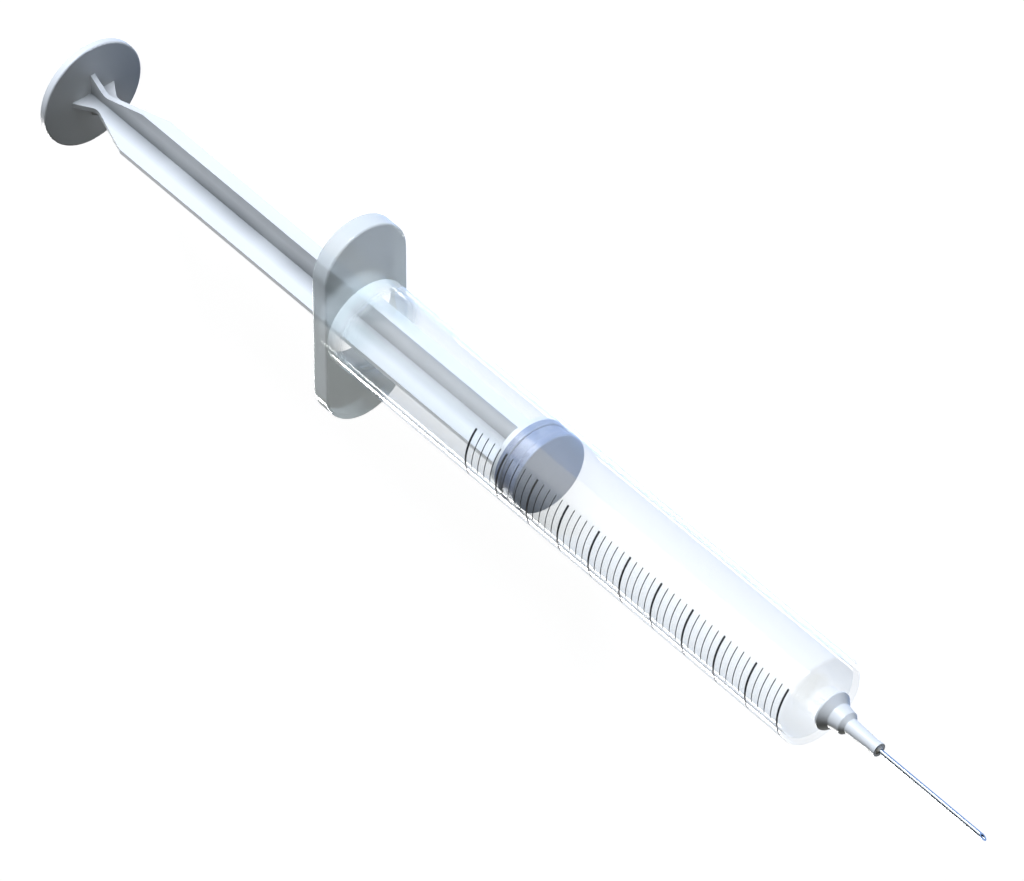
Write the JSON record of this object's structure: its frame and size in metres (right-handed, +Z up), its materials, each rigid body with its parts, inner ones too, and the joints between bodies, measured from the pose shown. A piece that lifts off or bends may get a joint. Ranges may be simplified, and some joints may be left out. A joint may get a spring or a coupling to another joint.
{
  "type": "piston syringe with needle",
  "caption": "Clear piston syringe with an oblong finger flange, a cross-webbed plunger rod, a rubber stopper and a slip-on needle with a slanted end, for dispensing glue or resin.",
  "frame": {"origin": "on the table, under the middle of the syringe's length, with the syringe lying on its side", "axes": "+X along the axis towards the needle, +Y along the finger flange, +Z up from the table, square to the flange's flat sides"},
  "size_m": [0.2029, 0.037, 0.0184],
  "materials": {
    "clear_plastic": "clear moulded polypropylene, glossy",
    "white_plastic": "white moulded polyethylene, satin",
    "dark_rubber": "dark grey moulded rubber, satin",
    "hub_plastic": "white moulded polypropylene, satin",
    "needle_steel": "drawn stainless tube, bright",
    "adhesive": "cured clear adhesive, glossy",
    "scale_ink": "black pad-printed ink, matt"
  },
  "bodies": {
    "barrel": {"barrel": "clear_plastic"},
    "stopper": {"stopper": "dark_rubber"},
    "plunger": {"plunger_rod": "white_plastic"},
    "needle": {"needle_hub": "hub_plastic", "cannula": "needle_steel", "cannula_bond": "adhesive"}
  },
  "joints": [
    {"name": "plunger_slide", "type": "slide", "parent": "barrel", "child": "stopper", "axis": [1, 0, 0], "range_m": [-0.0342, 0.0588]},
    {"name": "rod_turn", "type": "hinge", "parent": "stopper", "child": "plunger", "pos_m": [0, 0, 0.0092], "axis": [1, 0, 0], "continuous": true},
    {"name": "needle_pull", "type": "slide", "parent": "barrel", "child": "needle", "axis": [1, 0, 0], "range_m": [0, 0.012]}
  ]
}
